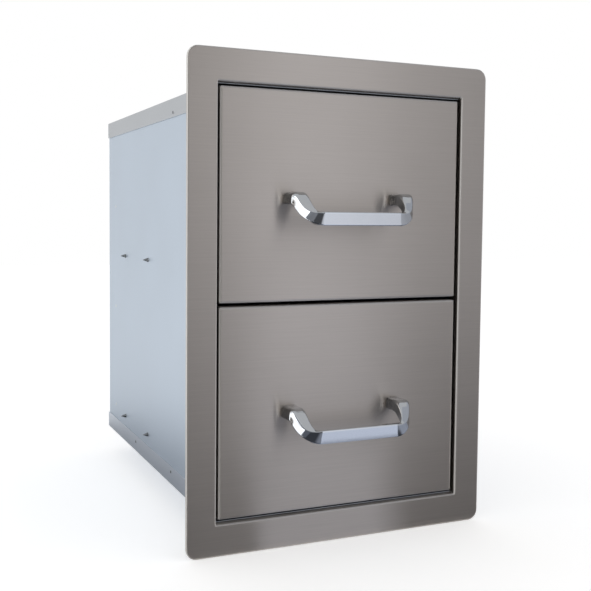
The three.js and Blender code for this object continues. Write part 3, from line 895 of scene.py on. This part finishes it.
def glowing_material(name):
    material = bpy.data.materials.new(name)
    material.use_nodes = True
    tree = material.node_tree
    tree.nodes.remove(tree.nodes["Principled BSDF"])
    glow = add_node(material, "ShaderNodeEmission")
    tree.links.new(glow.outputs["Emission"], tree.nodes["Material Output"].inputs["Surface"])
    return material, glow


def plain_card_material(name, tint, gain):
    material, glow = glowing_material(name)
    feed(material, glow, {"Color": (*tint, 1), "Strength": gain})
    return material


print("a card on the table is tinted:", [round(v, 2) for v in table_tint])

# %% [markdown]
# ## Greys that fan out
# A single grey would leave the brushed fronts even from side to side, where real ones have soft
# upright bands. So some cards change from grey to grey. Their greys fan out from a point behind the
# unit, so that the edges between them stand upright in the steel. An angle of 0 degrees is straight
# ahead of that point, and positive ones are to the right.

# %% A card whose greys fan out
fan_centre = Vector((-0.485, 0.949, 0))


def card_material(name, stops, tint):
    material, glow = glowing_material(name)
    place = add_node(material, "ShaderNodeNewGeometry").outputs["Position"]
    ruled = add_node(material, "ShaderNodeVectorMath", {"operation": "SUBTRACT"}, {
        0: place, 1: fan_centre}).outputs["Vector"]
    split = add_node(material, "ShaderNodeSeparateXYZ", inputs={"Vector": ruled})
    ahead = add_node(material, "ShaderNodeMath", {"operation": "MULTIPLY"}, {
        0: split.outputs["Y"], 1: -1.0}).outputs[0]
    compass = add_node(material, "ShaderNodeMath", {"operation": "ARCTAN2"}, {
        0: split.outputs["X"], 1: ahead}).outputs[0]
    share = add_node(material, "ShaderNodeMapRange", inputs={
        "Value": compass, "From Min": math.radians(stops[0][0]),
        "From Max": math.radians(stops[-1][0])}).outputs["Result"]
    ramp = add_node(material, "ShaderNodeValToRGB", inputs={"Fac": share})
    span = stops[-1][0] - stops[0][0]
    elements = ramp.color_ramp.elements
    for angle, _ in stops[1:-1]:
        elements.new((angle - stops[0][0]) / span)
    for element, (_, grey) in zip(elements, stops):
        element.color = (*(tint * grey), 1)
    feed(material, glow, {"Color": ramp.outputs["Color"]})
    return material


print("the greys fan out from:", [round(v, 3) for v in fan_centre])

# %% [markdown]
# ## The curved card ahead
# A tall curved card stands round the front of the unit, from its left to behind its right side. It is
# dark straight ahead of the handles, brightest where the drawers' faces look, and falls off to the
# right. Its lower band is a little darker and warmer, so that the steel darkens towards the floor.

# %% The curved card ahead
wall_stops = [(-60, 0.3), (-8, 0.3), (-7, 0.1), (11.5, 0.1), (14.5, 0.86), (20, 0.94), (22.5, 1.14),
              (25, 1.1), (31.5, 0.89), (33, 0.68), (38, 0.6), (55, 0.5), (90, 0.45)]
low_band_top = 0.6
low_band_gain = 0.88
low_band_tint = Vector((0.98, 0.99, 1.05))
low_band_stops = [(angle, grey * low_band_gain) for angle, grey in wall_stops]
wall_radius = 2.4
wall_height = 2.6
left_wall_height = 2.0
left_wall_end = -10
wall_first = -66
wall_last = 150
wall_panels = 80


def curved_card(name, low, high, left_high, material):
    corners = []
    for k in range(wall_panels + 1):
        bearing = between(wall_first, wall_last, k / wall_panels)
        angle = math.radians(bearing)
        for z in (low, left_high if bearing < left_wall_end else high):
            corners.append((wall_radius * math.sin(angle), -wall_radius * math.cos(angle), z))
    mesh = bpy.data.meshes.new(name)
    faces = [(2 * k, 2 * k + 1, 2 * k + 3, 2 * k + 2) for k in range(wall_panels)]
    mesh.from_pydata(corners, [], faces)
    mesh.materials.append(material)
    card = bpy.data.objects.new(name, mesh)
    bpy.context.scene.collection.objects.link(card)
    only_in_reflections(card)


curved_card("low_curved_card", floor_level, low_band_top, low_band_top,
            card_material("grey_paper_low_wall_card", low_band_stops, low_band_tint))
curved_card("curved_card", low_band_top, wall_height, left_wall_height,
            card_material("grey_paper_wall_card", wall_stops, wall_tint))
print("the curved card spans in degrees:", wall_last - wall_first)

# %% [markdown]
# ## Cards on the table
# The steel darkens towards its foot, where it shows the table that the unit stands on. Two cards in
# front of the unit do this, a dark one near it and a lighter one further away, and a third lies on
# its right. The two in front have greys that fan out, so that their bands go on from the curved card.

# %% Cards on the table
def level_card(name, x_range, y_range, z, material):
    (left, right), (near, far) = x_range, y_range
    flat_card(name, [(left, near, z), (right, near, z), (right, far, z), (left, far, z)], material)


card_rise = 1 * mm
table_level = floor_level + card_rise
table_width = (-2.2, 2.2)
near_table_depth = (-0.5, -0.006)
far_table_depth = (-2.3, -0.5)
right_table = ((0.25, 2.2), (-0.006, 1.5))
right_table_grey = 0.35
near_stops = [(-60, 0.2), (-10, 0.15), (-8, 0.05), (10, 0.05), (16, 0.08), (21.3, 0.1), (22.3, 0.5),
              (29, 0.52), (31.3, 0.07), (36, 0.06), (40, 0.4), (90, 0.4)]
far_stops = [(-60, 0.2), (-10, 0.15), (-8, 0.06), (10, 0.06), (16, 0.28), (21.3, 0.3), (22.3, 0.83),
             (29.5, 0.83), (31.5, 0.4), (36, 0.3), (40, 0.45), (90, 0.45)]
level_card("near_table_card", table_width, near_table_depth, table_level,
           card_material("dark_grey_paper_table_card", near_stops, table_tint))
level_card("far_table_card", table_width, far_table_depth, table_level,
           card_material("mid_grey_paper_table_card", far_stops, table_tint))
level_card("right_table_card", *right_table, table_level,
           plain_card_material("grey_paper_table_card", table_tint, right_table_grey))
print("table level in mm:", round(table_level / mm, 1))

# %% [markdown]
# ## Cards on the left and above
# The cabinet's left side is pale with a darker foot. A sheet of glowing paper on the left keeps it pale,
# and a narrow dark card on the floor beside the unit, a painted shadow of the unit, shows in its foot. A
# grey card hangs above as a ceiling.

# %% Cards on the left and above
white_level = table_level + card_rise
left_shade = ((-0.34, -0.16), (0.1, 0.7))
left_shade_grey = 0.15
white_card_outline = ((-0.5, -0.3), (-0.5, 0.7), (-2.2, 0.7), (-2.2, -0.95))
white_card_glow = 1.9
ceiling = ((-2.5, 2.5), (-2.4, 0.8))
ceiling_level = 2.55
ceiling_grey = 0.62
# The shade card is a painted shadow of the unit on the floor, seen only in reflections.
level_card("shade_card", *left_shade, table_level,
           plain_card_material("painted_floor_shadow_card", table_tint, left_shade_grey))
flat_card("white_card", [(x, y, white_level) for x, y in white_card_outline],
          plain_card_material("white_glowing_paper_card", white, white_card_glow))
level_card("ceiling_card", *ceiling, ceiling_level,
           plain_card_material("grey_paper_ceiling_card", white, ceiling_grey))
print("ceiling in m:", ceiling_level)

# %% [markdown]
# ## The window on the left
# The pale side of the cabinet shows daylight. A bright pane low on the left stands for the window.

# %% The window on the left
window_x = -1.9
window_near, window_far = -0.55, 0.45
window_top = 0.9
window_glow = 1.7
flat_card("window_pane", [
    (window_x, window_near, white_level), (window_x, window_far, white_level),
    (window_x, window_far, window_top), (window_x, window_near, window_top)],
    plain_card_material("bright_window_pane", white, window_glow))
print("the window is wide by m:", window_far - window_near)

# %% [markdown]
# ## The soft box and the high shade
# A tall soft box of white cloth stands before the left end of the curved card. It is what the upright
# folds show as their bright lines, with the arms of the handles. A grey card high in front gives the
# tops of the handles something darker to show.

# %% The soft box and the high shade
def standing_card(name, bearings, distance, heights, material):
    places = []
    for bearing in bearings:
        angle = math.radians(bearing)
        for z in heights:
            places.append((distance * math.sin(angle), -distance * math.cos(angle), z))
    low_left, high_left, low_right, high_right = places
    flat_card(name, [low_left, low_right, high_right, high_left], material)


soft_box_bearings = (-82, -54)
soft_box_distance = 1.9
soft_box_heights = (0.35, 2.2)
soft_box_glow = 2.5
high_shade_bearings = (8, 21)
high_shade_distance = 2.3
high_shade_heights = (1.3, 2.5)
high_shade_grey = 0.45
standing_card("soft_box", soft_box_bearings, soft_box_distance, soft_box_heights,
              plain_card_material("glowing_white_cloth", white, soft_box_glow))
standing_card("high_shade_card", high_shade_bearings, high_shade_distance, high_shade_heights,
              plain_card_material("grey_paper_shade_card", white, high_shade_grey))
print("soft box strength:", soft_box_glow)

# %% [markdown]
# ## A soft lamp
# The white world gives most of the light. One large, weak lamp on the left gives it a side, as a
# window does.

# %% A soft lamp
def area_lamp(name, place, target, size, watts):
    data = bpy.data.lights.new(name, "AREA")
    data.shape = "RECTANGLE"
    data.size, data.size_y = size
    data.energy = watts
    lamp = bpy.data.objects.new(name, data)
    lamp.location = place
    lamp.rotation_mode = "QUATERNION"
    lamp.rotation_quaternion = (Vector(target) - Vector(place)).to_track_quat("-Z", "Y")
    bpy.context.scene.collection.objects.link(lamp)


middle = (cad_low + cad_high) / 2
lamp_place = (-2.3, 0.62, 0.5)
lamp_size = (1.3, 1.0)
lamp_watts = 4
area_lamp("window_left", lamp_place, middle, lamp_size, lamp_watts)
print("lamp watts:", lamp_watts)

# %% [markdown]
# ## The end
# The visual model has to stay inside the solids' box. The standard view transform keeps colours as
# they were mixed.

# %% Finish
bpy.context.scene.view_settings.view_transform = "Standard"
